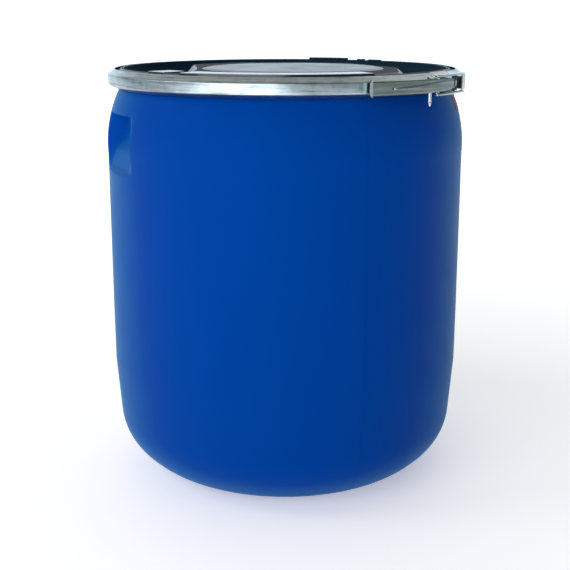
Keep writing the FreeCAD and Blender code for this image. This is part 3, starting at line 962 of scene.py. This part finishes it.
def link_strap():
    """Flat arms over and under the lever, joined by a folded outer web and an end plate."""
    inner, outer = LINK_R
    low, high = LINK_LOW.z, LINK_HIGH.z
    pieces = []
    for z in (low, high - LINK_T):
        top = z + LINK_T
        pieces.append(lathe("arm", bar(inner, outer, z, top, 0.4, 0.4),
                            spread(LINK_PIVOT, LINK_HOOD + 0.6, 0.6), closed=True))
        eye = [(0, z, 0), (LINK_EYE_R, z, 0.4), (LINK_EYE_R, top, 0.4), (0, top, 0)]
        pieces.append(spindle("eye", rounded(eye, 3), (inner + outer) / 2, LINK_PIVOT, 24))
    web, half = outer - LINK_T / 2, LINK_T / 2
    fold = [(inner, low + half, 0), (web, low + half, 3.5), (web, high - half, 3.5),
            (inner, high - half, 0)]
    hood = lathe("link_stirrup", sheet_outline(fold, LINK_T, 7), spread(LINK_HOOD, LINK_END, 0.3),
                 closed=True)
    plate = bar(inner, outer - 0.6, low + 1.0, high - 1.0, 3.5, 0.5, steps=5)
    pieces.append(lathe("end", plate, spread(LINK_END - 0.42, LINK_END, 0.21), closed=True))
    return dress(tidy(join(hood, pieces)), STEEL["link"])


def link_rivets():
    """Two headed rivets, one down from above and one up from below."""
    made = []
    middle = (RIVET_LOW.z + RIVET_HIGH.z) / 2
    tall = (RIVET_HIGH.z - RIVET_LOW.z) / 2
    line = rounded([(r, tall - drop, bend) for r, drop, bend in RIVET], 4)
    for sign in (1, -1):
        outline = [(r, middle + sign * z) for r, z in line]
        made.append(spindle("rivet_pair", outline, PIVOT_R, LINK_PIVOT, 28))
    return dress(tidy(join(made[0], made[1:])), STEEL["pin"])


def beside_pin(across, out, z):
    """A point across, and out from, the locking pin's axis at a height above its tip."""
    return at(PIVOT_R, PIN_BEARING, PIN_LOW.z + z) + Vector((across, -out, 0.0)) * MM


def locking_pin():
    """Pin with a domed head and a flat blade, pointed and drilled at the tip."""
    head = rounded([(r, PIN_HIGH.z - drop, bend) for r, drop, bend in PIN_HEAD], 4)
    obj = spindle("lock_pin", head, PIVOT_R, PIN_BEARING, 28)
    rings = []
    for z, half in BLADE:
        ring = []
        for angle in turns(20):
            across, out = math.cos(angle), math.sin(angle)
            ring.append(beside_pin(half * math.copysign(abs(across) ** 0.6, across),
                                   BLADE_HALF * math.copysign(abs(out) ** 0.5, out), z))
        rings.append(ring)
    blade = tidy(prism("blade", rings))
    wide, tall = HOLE_HALF
    hole = [[beside_pin(wide * math.cos(angle), out, HOLE_RISE + tall * math.sin(angle))
             for angle in turns(16)] for out in (12.0, -12.0)]
    cut(blade, tidy(prism("hole", hole)))
    return dress(tidy(join(obj, [blade])), STEEL["pin"])


# ---------------------------------------------------------------- studio

CAMERA_BACK = 1829.5          # distance in front of the drum's axis
CAMERA_UP = 781.2
CAMERA_DOWN = 14.46           # degrees below the horizon
CAMERA_LENS, CAMERA_SENSOR = 67.8, 36.0
CAMERA_RANGE = 100.0          # metres
FLOOR_HALF = 9.0              # half its side, in metres
# name, size, power, place, and the point it faces, in metres and watts
LIGHTS = [("key", (4.2, 3.2), 112.0, (-1.9, -3.3, 1.5), (0, 0, 0.5)),
          ("left", (1.2, 1.6), 20.0, (-2.6, -0.6, 2.2), (0, 0, 0.4))]
SKY_STRENGTH = 1.6
# the studio's walls and ceiling: sine of the height above the horizon, and the light there
SKY = [(0.0, (0.74, 0.89, 1.0)), (0.22, (0.74, 0.86, 1.0)), (0.55, (0.9, 0.87, 0.82)),
       (1.0, (1.0, 0.93, 0.84))]
# how much of that there is beside the drum (y = 0) and behind it (y = 1)
FRONT_TO_BACK = [(0.0, (0.16, 0.17, 0.18)), (0.12, (0.36, 0.37, 0.38)), (0.6, (0.42, 0.43, 0.44)),
                 (0.98, (1.0, 1.0, 1.0))]


def add_floor():
    """A pale square floor."""
    floor = new_object("floor", [(x * FLOOR_HALF, y * FLOOR_HALF, 0)
                                 for x, y in ((-1, -1), (1, -1), (1, 1), (-1, 1))], [(0, 1, 2, 3)])
    dress(floor, studio_floor())


def add_sky():
    """Soft light from all round, coloured by height and strongest behind the drum."""
    world = bpy.data.worlds.new("studio")
    bpy.context.scene.world = world
    world.use_nodes = True
    tree = world.node_tree
    split = tree.nodes.new("ShaderNodeSeparateXYZ")
    where = tree.nodes.new("ShaderNodeTexCoord").outputs["Generated"]
    tree.links.new(where, split.inputs[0])
    both = tree.nodes.new("ShaderNodeMix")
    both.data_type = "RGBA"
    both.blend_type = "MULTIPLY"
    both.inputs["Factor"].default_value = 1.0
    for axis, stops, socket in (("Z", SKY, 6), ("Y", FRONT_TO_BACK, 7)):
        ramp = tree.nodes.new("ShaderNodeValToRGB")
        fill_ramp(ramp, stops)
        tree.links.new(split.outputs[axis], ramp.inputs[0])
        tree.links.new(ramp.outputs["Color"], both.inputs[socket])
    tree.links.new(both.outputs[2], tree.nodes["Background"].inputs["Color"])
    tree.nodes["Background"].inputs["Strength"].default_value = SKY_STRENGTH


def add_lights():
    """Large soft lamps."""
    for name, size, power, place, aim in LIGHTS:
        lamp = bpy.data.lights.new(name, "AREA")
        lamp.shape = "RECTANGLE"
        lamp.size, lamp.size_y = size
        lamp.energy = power
        obj = bpy.data.objects.new(name, lamp)
        obj.location = place
        obj.rotation_euler = (Vector(aim) - Vector(place)).to_track_quat("-Z", "Y").to_euler()
        bpy.context.scene.collection.objects.link(obj)


def add_camera():
    """The camera, at the photograph's viewing angle."""
    camera = bpy.data.cameras.new("camera")
    camera.lens = CAMERA_LENS
    camera.sensor_width = CAMERA_SENSOR
    camera.clip_end = CAMERA_RANGE
    obj = bpy.data.objects.new("camera", camera)
    obj.location = Vector((0.0, -CAMERA_BACK, CAMERA_UP)) * MM
    obj.rotation_euler = (math.radians(90.0 - CAMERA_DOWN), 0.0, 0.0)
    bpy.context.scene.collection.objects.link(obj)
    bpy.context.scene.camera = obj
    bpy.context.scene.view_settings.view_transform = "Standard"


# ---------------------------------------------------------------- materials and pieces

# colours for upright, sloped and flat faces: painted shades by facing, the lighter slopes a
# painted reflection
LID_PLASTIC = black_plastic("lid_plastic", (0.002, 0.022, 0.042), (0.13, 0.17, 0.22),
                            (0.004, 0.008, 0.014), 0.66, 0.15)
DISC_PLASTIC = black_plastic("lid_disc_plastic", (0.02, 0.03, 0.04), (0.05, 0.06, 0.08),
                             (0.02, 0.03, 0.04), 0.3, 0.5)
# the ledges' flat tops and slopes are painted lighter than the lid's, a painted highlight
LEDGE_PLASTIC_PAINTED_HIGHLIGHT = black_plastic("lid_ledge_plastic_painted_highlight", (0.004, 0.008, 0.014), (0.2, 0.24, 0.28),
                              (0.10, 0.13, 0.16), 0.14, 0.6)
STEEL = {
    "band": galvanised("band_zinc", (0.17, 0.22, 0.24), (0.58, 0.67, 0.71), 0.24),
    "bracket": galvanised("bracket_zinc", (0.34, 0.37, 0.36), (0.62, 0.65, 0.63), 0.28),
    "hook": galvanised("hook_steel", (0.02, 0.03, 0.03), (0.06, 0.08, 0.08), 0.45),
    "lever": galvanised("lever_zinc", (0.05, 0.07, 0.07), (0.29, 0.35, 0.33), 0.24, 10.0, 1.4),
    "link": galvanised("link_zinc", (0.18, 0.24, 0.25), (0.52, 0.60, 0.60), 0.26),
    "pin": galvanised("pin_zinc", (0.36, 0.42, 0.46), (0.66, 0.72, 0.77), 0.24),
}

# each piece with its body, the CAD nodes it replaces and its material slot
PIECES = [
    (drum_body(), "drum", ("drum_body",), "blue_plastic"),
    (shoulder_label(), "drum", ("shoulder_label",), "red_label"),
    (gasket(), "lid", ("lid_gasket",), "gasket_rubber"),
    (hook_bracket(), "ring_end_b", ("hook_bracket",), "bracket_steel"),
    (pivot_pin(), "lever", ("lever_pivot_pin",), "pin_steel"),
    (link_strap(), "link", ("link_strap",), "link_steel"),
    (link_rivets(), "link", ("link_rivets",), "pin_steel"),
    (locking_pin(), "locking_pin", ("locking_pin",), "pin_steel"),
]
for piece in lid():
    PIECES.append((piece, "lid", ("lid",), "black_plastic"))
for piece in lever_bracket():
    PIECES.append((piece, "clamp_ring", ("lever_bracket",), "bracket_steel"))
for piece in lever():
    PIECES.append((piece, "lever", ("lever",), "lever_steel"))
for piece, body, nodes, slot in PIECES:
    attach(piece, body)
    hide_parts(*nodes)

# the band opens by bending at its back; here it is attached to no body, and its place is baked
# into its points
band = clamp_band()
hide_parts("clamp_band")
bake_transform(band)

add_floor()
add_sky()
add_lights()
add_camera()
